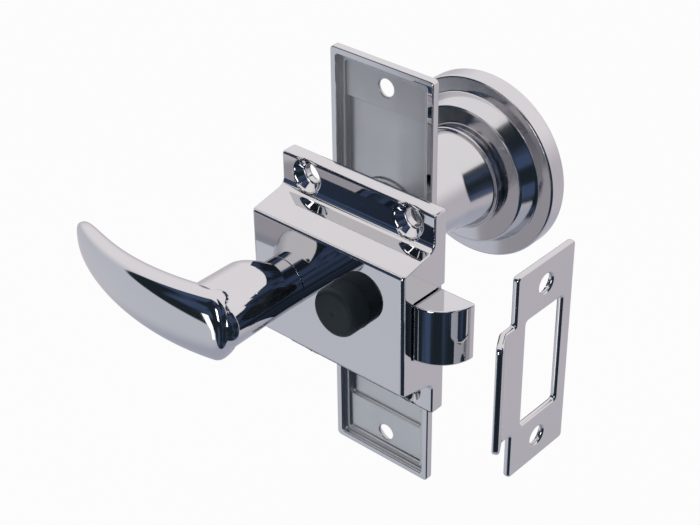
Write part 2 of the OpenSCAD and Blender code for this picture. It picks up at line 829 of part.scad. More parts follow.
module outside_plate() {
    inner_w = plate_w - 2 * (rim_w + ledge_w);
    inner_h = plate_h - 2 * (rim_w + ledge_w);
    plate_screw_z = plate_h / 2 - plate_screw_inset;
    sink = (screw_head_d - screw_hole_d) / 2;
    color(chrome) translate([lever_x, 0, 0]) difference() {
        union() {
            translate([0, 0, plate_z]) {
                front_outline(plate_in_y, plate_in_y + plate_edge_t)
                    round_rect(plate_w, plate_h, plate_corner_r);
                plate_panel();
            }
            along_y(y = plate_out_y - panel_t / 2)
                cylinder(d1 = rose_d, d2 = rose_d - rose_t, h = rose_t + panel_t / 2);
        }
        translate([0, 0, plate_z]) {
            front_outline(plate_in_y - cut, plate_in_y + step_depth)
                round_rect(plate_w - 2 * rim_w, plate_h - 2 * rim_w, plate_corner_r / 2);
            front_outline(plate_in_y - cut, pad_y) round_rect(inner_w, inner_h, plate_corner_r / 2);
            front_outline(plate_in_y - cut, floor_y) translate([-inner_w / 2, pad_low_l - plate_h / 2])
                square([inner_w, plate_h - pad_l - pad_low_l]);
            for (z = [-1, 1]) translate([0, 0, z * plate_screw_z]) {
                along_y(y = plate_in_y) cylinder(d = screw_hole_d, h = plate_t + cut);
                along_y(y = plate_out_y - sink) cylinder(d1 = screw_hole_d, d2 = screw_head_d, h = sink);
            }
        }
        along_y(y = plate_in_y) cylinder(r = bush_r, h = plate_t + rose_t + cut);
    }
}

module knob_bush() {
    color(brass) along_y(lever_x, floor_y) difference() {
        cylinder(r = bush_r, h = rose_top_y - floor_y);
        translate([0, 0, -cut]) cylinder(d = shank_d + 2 * run_gap, h = plate_t + rose_t + 2 * cut);
    }
}

// Outline of the knob as radius and distance through the door: shank, neck, ring, hub, rim and dome
module knob_outline() {
    edge_r = 0.4;
    ring_step = 1;
    ring_groove = 0.7;
    bell_hollow_r = 9;
    hub_edge_r = 1.2;
    cove_lean = 0.8;
    cove_hollow_r = 2.4;
    rim_r = 1;
    rim_back_r = 3;
    dome_share = 0.55;
    dome_fall = 0.1;
    dome_r = 16;
    shank_r = shank_d / 2;
    groove_r = shank_r - groove_depth;
    neck_r = neck_d / 2;
    ring_r = neck_ring_d / 2;
    hub_r = knob_hub_d / 2;
    knob_r = knob_d / 2;
    ring_back_y = neck_ring_y + neck_ring_t;
    groove_in_y = circlip_back_y - circlip_t - run_gap;
    groove_out_y = circlip_back_y + run_gap;
    polygon(rounded([
        [0, shank_in_y, 0],
        [shank_r, shank_in_y, edge_r],
        [shank_r, groove_in_y, 0],
        [groove_r, groove_in_y, 0],
        [groove_r, groove_out_y, 0],
        [shank_r, groove_out_y, 0],
        [shank_r, neck_y, 0],
        [neck_r, neck_y, edge_r],
        [neck_r + bell_flare, neck_y + bell_l * bell_share, bell_hollow_r],
        [ring_r - ring_step, neck_ring_y, 0],
        [ring_r, neck_ring_y, edge_r],
        [ring_r, ring_back_y, edge_r],
        [ring_r - ring_groove, ring_back_y, 0],
        [hub_r, hub_y, hub_edge_r],
        [hub_r + cove_lean, rim_y, cove_hollow_r],
        [knob_r, rim_y, rim_back_r],
        [knob_r, rim_front_y, rim_r],
        [knob_r * dome_share, dome_y - knob_dome * dome_fall, dome_r],
        [0, dome_y, 0]
    ]));
}

module knob() {
    color(chrome) difference() {
        along_y(lever_x) rotate_extrude($fn = 96) knob_outline();
        translate([lever_x - socket_w / 2, shank_in_y - cut, -socket_w / 2])
            cube([socket_w, spindle_end_y + socket_gap - shank_in_y + cut, socket_w]);
        translate([lever_x, knob_grub_y, -knob_d / 2]) cylinder(d = grub_d, h = knob_d / 2);
    }
}

module knob_grub_screw() {
    grub_l = neck_d / 2 - spindle_w / 2 - grub_sink;
    color(steel) translate([lever_x, knob_grub_y, -spindle_w / 2 - grub_l]) difference() {
        cylinder(d = grub_d, h = grub_l);
        translate([0, 0, -cut]) cylinder(d = grub_d / 2, h = grub_l / 4 + cut, $fn = 6);
    }
}

module knob_washer() {
    color(steel) along_y(lever_x, washer_in_y) difference() {
        cylinder(d = shank_d + 2 * knob_washer_w, h = knob_washer_t);
        translate([0, 0, -cut]) cylinder(d = shank_d + 2 * run_gap, h = knob_washer_t + 2 * cut);
    }
}

module knob_circlip() {
    inner_r = shank_d / 2 - groove_depth + run_gap;
    color(steel) along_y(lever_x, circlip_back_y - circlip_t)
        rotate([0, 0, circlip_opening / 2]) rotate_extrude(angle = 360 - circlip_opening)
        translate([inner_r, 0]) square([circlip_w, circlip_t]);
}

// Lip of the strike: a strip that leaves the plate flat and then bends away from the bolt
module strike_lip(root_y) {
    bend_y = root_y - lip_flat;
    mitre = strike_t * tan(lip_bend / 2);
    end_x = strike_x + lip_l * sin(lip_bend);
    end_y = bend_y - lip_l * cos(lip_bend);
    back_x = end_x - strike_t * cos(lip_bend);
    back_y = end_y - strike_t * sin(lip_bend);
    inner_y = root_y + strike_t;
    intersection() {
        translate([0, 0, -lip_h / 2]) linear_extrude(lip_h) polygon(rounded([
            [strike_x, inner_y, 0],
            [strike_x - strike_t, inner_y, 0],
            [strike_x - strike_t, bend_y - mitre, strike_t + lip_bend_r],
            [back_x, back_y, 0],
            [end_x, end_y, 0],
            [strike_x, bend_y, lip_bend_r]
        ]));
        side_outline(strike_x - 2 * strike_t, end_x + strike_t) polygon(rounded([
            [inner_y + cut, -lip_h / 2 - cut, 0],
            [inner_y + cut, lip_h / 2 + cut, 0],
            [back_y - cut, lip_h / 2 + cut, lip_corner_r],
            [back_y - cut, -lip_h / 2 - cut, lip_corner_r]
        ]));
    }
}

module strike_plate() {
    color(chrome) difference() {
        union() {
            side_outline(strike_x - strike_t, strike_x)
                translate([strike_y, 0]) round_rect(strike_w, strike_h, strike_corner_r);
            strike_lip(strike_y - strike_w / 2);
        }
        side_outline(strike_x - strike_t - cut, strike_x + cut)
            translate([strike_y, 0]) round_rect(window_w, window_h, window_corner_r);
        for (z = [-1, 1]) {
            along_x(strike_x - strike_t - cut, strike_y, z * strike_screw_z)
                cylinder(d = screw_hole_d, h = strike_t + 2 * cut);
            along_x(strike_x - strike_t, strike_y, z * strike_screw_z)
                cylinder(d1 = screw_hole_d + strike_t, d2 = screw_hole_d, h = strike_t / 2);
        }
    }
}

case_shell();
back_cover();
cover_screws();
lever_bush();
lever_handle();
lever_grub_screw();
spindle();
follower();
follower_pin();
follower_washer();
latch_bolt();
spring_guide();
bolt_spring();
lock_button();
lock_pin();
lock_snap_ring();
outside_plate();
knob_bush();
knob();
knob_grub_screw();
knob_washer();
knob_circlip();
strike_plate();
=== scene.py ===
"""Looks of the rim latch: chrome, steel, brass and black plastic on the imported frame, in metres."""
import json
import math

import bmesh
import bpy
from mathutils import Matrix, Vector

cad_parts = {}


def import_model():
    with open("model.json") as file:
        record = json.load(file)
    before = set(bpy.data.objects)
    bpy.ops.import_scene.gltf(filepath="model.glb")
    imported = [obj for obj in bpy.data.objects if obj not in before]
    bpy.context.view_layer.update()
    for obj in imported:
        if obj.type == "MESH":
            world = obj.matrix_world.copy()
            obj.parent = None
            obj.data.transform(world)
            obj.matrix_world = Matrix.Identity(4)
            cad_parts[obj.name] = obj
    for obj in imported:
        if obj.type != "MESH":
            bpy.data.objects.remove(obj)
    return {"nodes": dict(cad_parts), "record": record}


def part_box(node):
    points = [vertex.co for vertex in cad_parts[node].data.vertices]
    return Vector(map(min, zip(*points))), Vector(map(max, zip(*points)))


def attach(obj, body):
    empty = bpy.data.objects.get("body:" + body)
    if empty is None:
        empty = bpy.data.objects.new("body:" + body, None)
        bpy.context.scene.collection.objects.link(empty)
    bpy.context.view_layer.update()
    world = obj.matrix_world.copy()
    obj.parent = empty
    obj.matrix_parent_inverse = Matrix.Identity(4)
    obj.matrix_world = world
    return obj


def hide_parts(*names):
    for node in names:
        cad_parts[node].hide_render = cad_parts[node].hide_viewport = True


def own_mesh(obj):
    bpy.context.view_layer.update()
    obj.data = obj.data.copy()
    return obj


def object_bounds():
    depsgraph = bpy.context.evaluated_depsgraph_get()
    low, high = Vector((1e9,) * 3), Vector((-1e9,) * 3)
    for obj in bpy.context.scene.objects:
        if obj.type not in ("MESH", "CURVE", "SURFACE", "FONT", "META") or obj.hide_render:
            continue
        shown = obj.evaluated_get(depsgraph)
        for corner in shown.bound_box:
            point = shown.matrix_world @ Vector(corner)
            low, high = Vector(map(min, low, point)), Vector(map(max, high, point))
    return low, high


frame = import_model()
cad_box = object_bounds()

MM = 0.001

# Camera, fitted to the case, plate and knob in the photograph
CAMERA_AZIMUTH = 42.06
CAMERA_ELEVATION = 32.83
CAMERA_ROLL = -0.83
CAMERA_DISTANCE = 377.1 * MM
CAMERA_RIGHT = -4.34 * MM
CAMERA_UP = 3.13 * MM
FOCAL_PIXELS = 1600
PHOTO_WIDTH = 700
SENSOR_WIDTH = 36
CLIP_START = 0.01
CLIP_END = 20

# Studio: pale all round, with dark sides, as a room behind the photographer.
# Each dark side has its middle azimuth and elevation, and half of its width and height, in degrees.
DARK_SIDES = (
    (18, 6, 77, 48),
    (43, -33, 66, 26),
    (99, 4, 20, 48),
    (86, 54, 22, 24),
)
DARK_EDGE = 0.03
DARK_COLOUR = (0.016, 0.024, 0.032, 1)

# Blue patches in the dark: how fine they are, and the noise at which they start and are full
PATCH_SCALE = 2.2
PATCH_START = 0.46
PATCH_FULL = 0.62
PATCH_COLOUR = (0.06, 0.09, 0.17, 1)

# White card low on the lever's side: its middle, and half of its width and height, in degrees
CARD_AZIMUTH = -28.6
CARD_ELEVATION = -28
CARD_HALF_WIDTH = 2.4
CARD_HALF_HEIGHT = 9
CARD_COLOUR = (1.7, 1.7, 1.7, 1)

# Pale colours, and from where to where along Y or Z, each from -1 to 1, one gives way to the next
FRONT_COLOUR = (0.68, 0.70, 0.76, 1)
BACK_COLOUR = (0.66, 0.62, 0.665, 1)
SKY_COLOUR = (1.05, 1.01, 1.02, 1)
FLOOR_COLOUR = (0.48, 0.50, 0.58, 1)
WHITE = (1, 1, 1, 1)
FRONT_TO_BACK = (-0.4, 0.4)
SIDE_TO_SKY = (-0.15, 0.5)
SIDE_TO_FLOOR = (-0.58, -0.78)

# Soft window in front, and the floor under the part
KEY_AZIMUTH = 15
KEY_ELEVATION = 4
KEY_DISTANCE = 0.7
KEY_WIDTH = 0.17
KEY_HEIGHT = 0.36
KEY_POWER = 0.8
FLOOR_GAP = 0.06
FLOOR_SIZE = 4
FLOOR_GLOW = 0.93
PAPER_LIGHT = (0.86, 0.86, 0.87, 1)
PAPER_DARK = (0.84, 0.84, 0.85, 1)
PAPER_ROUGHNESS = 0.9
PAPER_GRAIN = 300
PAPER_DETAIL = 4

# Metals and plastic. A grain is in features per metre.
CHROME_LIGHT = (0.66, 0.655, 0.665, 1)
CHROME_DARK = (0.60, 0.605, 0.625, 1)
CHROME_GRAIN = (35, 220, 420)
CLOUD_DETAIL = 3
GLOSS_DETAIL = 4
FINE_DETAIL = 2
EDGE_SAMPLES = 6
EDGE_R = 0.15 * MM
PLASTIC_EDGE_R = 0.5 * MM
PLASTIC_SHINE = 0.2

# Sizes of the lever, as in the part's source
LEVER_X = -13.4 * MM
STEM_Y = -14.9 * MM
STEM_REACH = 24.9 * MM
STEM_R = 6.4 * MM
STEM_END_R = 6.9 * MM
STEM_WAIST_L = 5 * MM
DOME_L = 3.6 * MM
SWELL_START = 2.6 * MM
SWELL_L = 7 * MM
SWELL_W = 16.8 * MM
SWELL_H = 15 * MM
SWELL_RISE = 0.9 * MM
SWELL_INSET = 0.3 * MM
JOURNAL_R = 5 * MM
JOURNAL_L = 2.8 * MM
ARM_LEN = 55.5 * MM
ARM_T = 7.8 * MM
ARM_COVER = 0.8 * MM
ARM_ROOT = 5 * MM
ARM_H = 18.3 * MM
ARM_TAPER = 0.4
ARM_THINNING = 0.35
ARM_LEAD = 7.3 * MM
ARM_CURL = 14.2 * MM
ARM_DROP = 0.7 * MM
ARM_SAG = 5.6 * MM
ARM_LIFT = 3.1 * MM
ARM_FLICK = 2.6 * MM
ARM_SQUARE = 2.7
ARM_TAPER_POWER = 1.5
ARM_TIP_POWER = 16
ARM_FLICK_POWER = 6
ARM_ROOT_POWER = 6
ELBOW_Y = STEM_Y - STEM_REACH
ARM_Y = ELBOW_Y + ARM_T / 2 - ARM_COVER
LEVER_GRUB_REACH = 9 * MM
LEVER_GRUB_Y = STEM_Y - LEVER_GRUB_REACH
ARM_RINGS = 120
SWELL_RINGS = 40
RING_POINTS = 120

# Sizes of the knob and of the spindle, as in the part's source
KNOB_R = 25.5 * MM
KNOB_RIM_T = 4.2 * MM
KNOB_DOME = 5.6 * MM
DOME_SHARE = 0.55
DOME_FALL = 0.1
DOME_R = 16 * MM
KNOB_EDGE_R = 0.4 * MM
HUB_R = 19.9 * MM
HUB_L = 5.8 * MM
HUB_BACK_L = 1.6 * MM
NECK_RING_R = 14.2 * MM
NECK_RING_T = 1.7 * MM
NECK_RING_STEP = 1 * MM
NECK_R = 10.5 * MM
BELL_SHARE = 0.6
BELL_FLARE = 0.8 * MM
BELL_HOLLOW_R = 9 * MM
GROOVE_DEPTH = 0.8 * MM
RUN_GAP = 0.05 * MM
NECK_GAP = 0.3 * MM
SHANK_R = 8 * MM
SOCKET_W = 6.1 * MM
SOCKET_GAP = 0.05 * MM
GRUB_R = 2 * MM
CORNER_STEPS = 20
KNOB_POINTS = 180

# Where the knob's skin departs a little from the source, nearer to the photograph
RING_GROOVE = 0.7 * MM
HUB_FACE_SINK = 0.9 * MM
HUB_EDGE_IN = 0.7 * MM
HUB_EDGE_UP = 0.4 * MM
HUB_EDGE_R = 0.9 * MM
HUB_ROOT_OUT = 1.2 * MM
HUB_ROOT_R = 0.4 * MM
RIM_BACK_UP = 1.2 * MM
RIM_BACK_R = 0.6 * MM
RIM_FRONT_R = 0.8 * MM

# Satin hollow of the outside plate, within its rim, and the door that lies between it and the case
DOOR_T = 20 * MM
HOLLOW_START = 0.1 * MM
HOLLOW_DEPTH = 4.2 * MM
HOLLOW_INSET = 1.2 * MM
FACING_OUT = 0.5

# Sizes of the strike, as in the part's source
STRIKE_X = 51 * MM
STRIKE_Y = -1.3 * MM
STRIKE_T = 1.7 * MM
STRIKE_W = 20.4 * MM
STRIKE_H = 53.2 * MM
STRIKE_CORNER_R = 1 * MM
WINDOW_W = 13 * MM
WINDOW_H = 28 * MM
WINDOW_CORNER_R = 0.8 * MM
STRIKE_SCREW_Z = 20.4 * MM
SCREW_HOLE_R = 2.3 * MM
SINK_DEPTH = STRIKE_T / 2
LIP_FLAT = 3.2 * MM
LIP_L = 5.2 * MM
LIP_H = 29 * MM
LIP_CORNER_R = 2 * MM
LIP_BEND = math.radians(30)
LIP_BEND_R = 1.5 * MM
LIP_BEND_CUTS = 8

# Finish of edges, and of meshes taken over from the frame
CAST_EDGE = 0.4 * MM
PLATE_EDGE = 0.3 * MM
STRIKE_EDGE = 0.6 * MM
EDGE_STEPS = 4
BORE_ROOM = 1.5 * MM
SHARP_ANGLE = math.radians(32)
FLAT_ANGLE = math.radians(0.4)
WELD = 0.002 * MM


def direction(azimuth, elevation):
    """Unit vector towards a side, with azimuth 0 on the side of the room and 90 on that of the bolt."""
    a = math.radians(azimuth)
    e = math.radians(elevation)
    return Vector((math.sin(a) * math.cos(e), -math.cos(a) * math.cos(e), math.sin(e)))


def node_of(tree, kind, **values):
    """New shader node with its properties set."""
    node = tree.nodes.new(kind)
    for name, value in values.items():
        setattr(node, name, value)
    return node


def noise_of(tree, scale, detail):
    """Noise in the object's own coordinates, in features per metre."""
    place = node_of(tree, "ShaderNodeTexCoord")
    noise = node_of(tree, "ShaderNodeTexNoise")
    noise.inputs["Scale"].default_value = scale
    noise.inputs["Detail"].default_value = detail
    tree.links.new(place.outputs["Object"], noise.inputs["Vector"])
    return noise.outputs["Fac"]


def ranged(tree, value, low, high):
    """Brings a value from 0..1 into low..high."""
    node = node_of(tree, "ShaderNodeMapRange")
    node.inputs["To Min"].default_value = low
    node.inputs["To Max"].default_value = high
    tree.links.new(value, node.inputs["Value"])
    return node.outputs["Result"]


def stepped(tree, value, start, stop):
    """Smooth step from 0 at start to 1 at stop."""
    node = node_of(tree, "ShaderNodeMapRange", interpolation_type="SMOOTHSTEP")
    node.inputs["From Min"].default_value = min(start, stop)
    node.inputs["From Max"].default_value = max(start, stop)
    node.inputs["To Min"].default_value = 0 if start < stop else 1
    node.inputs["To Max"].default_value = 1 if start < stop else 0
    tree.links.new(value, node.inputs["Value"])
    return node.outputs["Result"]


def number(tree, operation, first, second=None):
    """Result of a sum on one or two values, each a socket or a number."""
    node = node_of(tree, "ShaderNodeMath", operation=operation)
    for socket, value in zip(node.inputs, (first, second)):
        if hasattr(value, "default_value"):
            tree.links.new(value, socket)
        elif value is not None:
            socket.default_value = value
    return node.outputs["Value"]


def ellipse_share(tree, angle, middle, half):
    """Squared distance of an angle from an ellipse's middle, in halves of the ellipse, both in degrees."""
    away = number(tree, "SUBTRACT", angle, math.radians(middle))
    share = number(tree, "DIVIDE", away, math.radians(half))
    return number(tree, "MULTIPLY", share, share)


def mixed(tree, factor, first, second):
    """Colour between first and second."""
    node = node_of(tree, "ShaderNodeMix", data_type="RGBA")
    for socket, colour in (("A", first), ("B", second)):
        target = [s for s in node.inputs if s.name == socket and s.type == "RGBA"][0]
        if hasattr(colour, "default_value"):
            tree.links.new(colour, target)
        else:
            target.default_value = colour
    tree.links.new(factor, node.inputs["Factor"])
    return [s for s in node.outputs if s.type == "RGBA"][0]


def surface(name, light, dark, grain, gloss, bump, edge=EDGE_R, metallic=1):
    """
    Material with clouded colour, uneven gloss, a fine bump and edges that catch the light.
    Grain is that of the clouds, the gloss and the bump, gloss the least and the most roughness,
    and bump its strength and its depth.
    """
    material = bpy.data.materials.new(name)
    material.use_nodes = True
    tree = material.node_tree
    shader = tree.nodes["Principled BSDF"]
    shader.inputs["Metallic"].default_value = metallic
    cloud = noise_of(tree, grain[0], CLOUD_DETAIL)
    tree.links.new(mixed(tree, cloud, light, dark), shader.inputs["Base Color"])
    patchy = noise_of(tree, grain[1], GLOSS_DETAIL)
    tree.links.new(ranged(tree, patchy, *gloss), shader.inputs["Roughness"])
    fine = noise_of(tree, grain[2], FINE_DETAIL)
    relief = node_of(tree, "ShaderNodeBump")
    relief.inputs["Strength"].default_value = bump[0]
    relief.inputs["Distance"].default_value = bump[1]
    tree.links.new(fine, relief.inputs["Height"])
    rounding = node_of(tree, "ShaderNodeBevel", samples=EDGE_SAMPLES)
    rounding.inputs["Radius"].default_value = edge
    tree.links.new(rounding.outputs["Normal"], relief.inputs["Normal"])
    tree.links.new(relief.outputs["Normal"], shader.inputs["Normal"])
    return material


def chrome_material():
    """Bright chrome on the cast pieces."""
    return surface(
        "chrome_plate", light=CHROME_LIGHT, dark=CHROME_DARK, grain=CHROME_GRAIN,
        gloss=(0.015, 0.06), bump=(0.06, 0.02 * MM),
    )


def stamped_material():
    """Chrome on stamped sheet."""
    return surface(
        "stamped_chrome", light=CHROME_LIGHT, dark=CHROME_DARK, grain=CHROME_GRAIN,
        gloss=(0.02, 0.08), bump=(0.1, 0.02 * MM),
    )


def turned_material():
    """Chrome on turned pieces, a little softer than on the cast ones."""
    return surface(
        "turned_chrome", light=CHROME_LIGHT, dark=CHROME_DARK, grain=CHROME_GRAIN,
        gloss=(0.09, 0.15), bump=(0.04, 0.02 * MM),
    )


def satin_material():
    """Unpolished chrome in the plate's hollow."""
    return surface(
        "satin_chrome", light=(0.66, 0.675, 0.68, 1), dark=(0.56, 0.58, 0.585, 1), grain=(60, 300, 2600),
        gloss=(0.26, 0.36), bump=(0.12, 0.03 * MM),
    )


def steel_material():
    """Zinc-plated steel of the pieces inside."""
    return surface(
        "zinc_steel", light=(0.62, 0.63, 0.65, 1), dark=(0.50, 0.51, 0.53, 1), grain=(90, 500, 1800),
        gloss=(0.22, 0.38), bump=(0.15, 0.03 * MM),
    )


def brass_material():
    """Machined brass of the bushes."""
    return surface(
        "machined_brass", light=(0.78, 0.62, 0.33, 1), dark=(0.66, 0.50, 0.25, 1), grain=(80, 400, 1600),
        gloss=(0.2, 0.34), bump=(0.12, 0.03 * MM),
    )


def plastic_material():
    """Moulded black plastic with little shine."""
    material = surface(
        "black_plastic", light=(0.012, 0.020, 0.025, 1), dark=(0.018, 0.028, 0.034, 1),
        grain=(120, 600, 5200), gloss=(0.42, 0.54), bump=(0.25, 0.03 * MM),
        edge=PLASTIC_EDGE_R, metallic=0,
    )
    shader = material.node_tree.nodes["Principled BSDF"]
    shader.inputs["Specular IOR Level"].default_value = PLASTIC_SHINE
    return material


CHROME = chrome_material()
STAMPED = stamped_material()
TURNED = turned_material()
SATIN = satin_material()
STEEL = steel_material()
BRASS = brass_material()
PLASTIC = plastic_material()
SLOT_MATERIALS = {"chrome": CHROME, "steel": STEEL, "brass": BRASS, "black_plastic": PLASTIC}
SLOT_OF = {part["node"]: part["material_slot"] for part in frame["record"]["subparts"]}
BODY_OF = {node: body for body, nodes in frame["record"]["behaviour"]["bodies"].items() for node in nodes}


def paint_frame():
    """Gives every node of the frame the material of its slot."""
    for name, obj in frame["nodes"].items():
        obj.data.materials.clear()
        obj.data.materials.append(SLOT_MATERIALS[SLOT_OF[name]])


def piece_from(name, bm, node):
    """Makes a piece of the mesh that stands for a node, on the node's body and in its slot."""
    mesh = bpy.data.meshes.new(name)
    bm.to_mesh(mesh)
    bm.free()
    mesh.materials.append(SLOT_MATERIALS[SLOT_OF[node]])
    piece = bpy.data.objects.new(name, mesh)
    bpy.context.scene.collection.objects.link(piece)
    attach(piece, BODY_OF[node])
    return piece


def smooth(bm):
    """Smooth shading, broken at sharp edges."""
    for face in bm.faces:
        face.smooth = True
    for edge in bm.edges:
        edge.smooth = len(edge.link_faces) == 2 and edge.calc_face_angle() < SHARP_ANGLE


def mark_edges(bm, bores):
    """Marks the sharp edges for easing, apart from those round bores, each with its middle and radius."""
    weight = bm.edges.layers.float.new("bevel_weight_edge")
    for edge in bm.edges:
        middle = (edge.verts[0].co + edge.verts[1].co) / 2
        in_bore = any(math.hypot(middle.x - x, middle.z - z) < r for x, z, r in bores)
        edge[weight] = 0 if edge.smooth or in_bore else 1


def bore_of(node, room):
    """Middle of a round node that runs through the door, and its radius with some room."""
    low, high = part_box(node)
    return (low.x + high.x) / 2, (low.z + high.z) / 2, (high.x - low.x) / 2 + room


def clear_slivers(bm):
    """Clears doubled points, faces without area and faces that are folded onto each other."""
    bmesh.ops.remove_doubles(bm, verts=bm.verts, dist=WELD)
    bmesh.ops.dissolve_degenerate(bm, edges=bm.edges, dist=WELD)
    bm.verts.index_update()
    faces_at = {}
    for face in bm.faces:
        faces_at.setdefault(frozenset(v.index for v in face.verts), []).append(face)
    folded = [face for faces in faces_at.values() if len(faces) > 1 for face in faces]
    bmesh.ops.delete(bm, geom=folded, context="FACES")


def ease(piece, width):
    """Rounds the marked edges of a piece, in its mesh."""
    eased = piece.modifiers.new("eased_edges", "BEVEL")
    eased.limit_method = "WEIGHT"
    eased.width = width
    eased.segments = EDGE_STEPS
    eased.use_clamp_overlap = False
    done = piece.evaluated_get(bpy.context.evaluated_depsgraph_get())
    bm = bmesh.new()
    bm.from_mesh(done.data)
    piece.modifiers.clear()
    clear_slivers(bm)
    bm.to_mesh(piece.data)
    bm.free()


def polished(name, node, edge, bores=()):
    """Copy of a node with its facets joined, its edges eased and shaded as one polished skin."""
    bm = bmesh.new()
    bm.from_mesh(frame["nodes"][node].data)
    bmesh.ops.remove_doubles(bm, verts=bm.verts, dist=WELD)
    bmesh.ops.dissolve_limit(bm, angle_limit=FLAT_ANGLE, verts=bm.verts, edges=bm.edges)
    smooth(bm)
    mark_edges(bm, bores)
    piece = piece_from(name, bm, node)
    if edge:
        ease(piece, edge)
    normals = piece.modifiers.new("flat_faces_stay_flat", "WEIGHTED_NORMAL")
    normals.keep_sharp = True
    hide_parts(node)
    return piece


def case():
    """Case with eased edges, apart from the bores of the button and the lever."""
    bores = [bore_of("lock_button", BORE_ROOM), bore_of("lever_bush", BORE_ROOM)]
    polished("case_skin", "case_shell", CAST_EDGE, bores)


def squared(value, power):
    """Signed power, which squares off a circle into a rounder box."""
    return math.copysign(abs(value) ** (2 / power), value)


def arm_middle(t):
    """Middle of the lever's arm at t, which is 0 at the spindle and 1 at the tip."""
    return Vector((
        LEVER_X - ARM_LEN * t,
        ARM_Y - ARM_LEAD * t + ARM_CURL * t * t,
        -ARM_DROP - ARM_SAG * t + ARM_LIFT * t * t + ARM_FLICK * max(t, 0) ** ARM_FLICK_POWER,
    ))


def arm_share(t, narrowing, root_power):
    """Share of the full section at t, which runs out at the round root and at the blunt tip."""
    if t < 0:
        return math.sqrt(max(0, 1 - (-t * ARM_LEN / ARM_ROOT) ** root_power))
    return (1 - narrowing * t ** ARM_TAPER_POWER) * math.sqrt(max(0, 1 - t ** ARM_TIP_POWER))


def arm_ring(bm, t):
    """One ring of the arm's skin."""
    side = Vector((2 * ARM_CURL * t - ARM_LEAD, ARM_LEN, 0)).normalized()
    half_h = ARM_H / 2 * arm_share(t, ARM_TAPER, 2)
    half_t = ARM_T / 2 * arm_share(t, ARM_THINNING, ARM_ROOT_POWER)
    ring = []
    for i in range(RING_POINTS):
        a = 2 * math.pi * i / RING_POINTS
        across = side * half_t * squared(math.cos(a), ARM_SQUARE)
        upward = Vector((0, 0, half_h * squared(math.sin(a), ARM_SQUARE)))
        ring.append(bm.verts.new(arm_middle(t) + across + upward))
    return ring


def skin(bm, rings, first, last):
    """Closed skin over rings of points, from a point before the first ring to one after the last."""
    for low, high in zip(rings, rings[1:]):
        for i in range(len(low)):
            k = (i + 1) % len(low)
            bm.faces.new((low[i], low[k], high[k], high[i]))
    for ring, point in ((rings[0], first), (rings[-1], last)):
        end = bm.verts.new(point)
        for i in range(len(ring)):
            bm.faces.new((ring[i], ring[(i + 1) % len(ring)], end))
    bmesh.ops.recalc_face_normals(bm, faces=bm.faces)


def lever_arm():
    """Curved, leaf-shaped arm, with rings closer together towards its ends."""
    bm = bmesh.new()
    start = -ARM_ROOT / ARM_LEN
    stations = []
    for i in range(1, ARM_RINGS):
        share = (1 - math.cos(math.pi * i / ARM_RINGS)) / 2
        stations.append(start + (1 - start) * share)
    skin(bm, [arm_ring(bm, t) for t in stations], arm_middle(start), arm_middle(1))
    return bm


def oval(bm, middle, half_w, half_h, points):
    """Ring of points across the spindle's direction."""
    ring = []
    for i in range(points):
        a = 2 * math.pi * i / points
        ring.append(bm.verts.new(middle + Vector((half_w * math.cos(a), 0, half_h * math.sin(a)))))
    return ring


def turned(outline, points):
    """Solid turned about the spindle, from radii and places along it that start and end on its axis."""
    bm = bmesh.new()
    rings = [oval(bm, Vector((LEVER_X, y, 0)), r, r, points) for r, y in outline[1:-1]]
    skin(bm, rings, (LEVER_X, outline[0][1], 0), (LEVER_X, outline[-1][1], 0))
    return bm


def lever_stem():
    """Turned stem with a journal towards the case and a domed elbow."""
    outline = [
        (0, STEM_Y + JOURNAL_L), (JOURNAL_R, STEM_Y + JOURNAL_L), (JOURNAL_R, STEM_Y), (STEM_R, STEM_Y),
        (STEM_R, STEM_Y - STEM_WAIST_L),
    ]
    for i in range(CORNER_STEPS):
        a = math.pi / 2 * i / CORNER_STEPS
        outline.append((STEM_END_R * math.cos(a), ELBOW_Y + DOME_L - DOME_L * math.sin(a)))
    outline.append((0, ELBOW_Y))
    return turned(outline, RING_POINTS)


def stem_swell():
    """Swell of the stem towards the arm and upwards."""
    bm = bmesh.new()
    core = STEM_R - SWELL_INSET
    grown_w = SWELL_W / 2 - core
    grown_h = SWELL_H / 2 - core
    places = [(i / SWELL_RINGS, math.sin(math.pi / 2 * i / SWELL_RINGS)) for i in range(SWELL_RINGS + 1)]
    sections = [(STEM_Y - SWELL_START - SWELL_L * along, share) for along, share in places]
    sections.append((ARM_Y, 1))
    middles = [Vector((LEVER_X - grown_w * share, y, SWELL_RISE * share)) for y, share in sections]
    rings = []
    for middle, (y, share) in zip(middles, sections):
        rings.append(oval(bm, middle, core + grown_w * share, core + grown_h * share, RING_POINTS))
    skin(bm, rings, middles[0], middles[-1])
    return bm


def grub_hole(y, length):
    """Cutter for a set screw's hole, from below up to the spindle."""
    bm = bmesh.new()
    place = Matrix.Translation((LEVER_X, y, -length / 2))
    bmesh.ops.create_cone(
        bm, cap_ends=True, segments=RING_POINTS, radius1=GRUB_R, radius2=GRUB_R, depth=length, matrix=place,
    )
    return bm


def spindle_socket(start_y, stop_y):
    """Cutter for the square hole that the spindle sits in."""
    bm = bmesh.new()
    size = Matrix.Diagonal((SOCKET_W, stop_y - start_y, SOCKET_W, 1))
    middle = Matrix.Translation((LEVER_X, (start_y + stop_y) / 2, 0))
    bmesh.ops.create_cube(bm, size=1, matrix=middle @ size)
    return bm


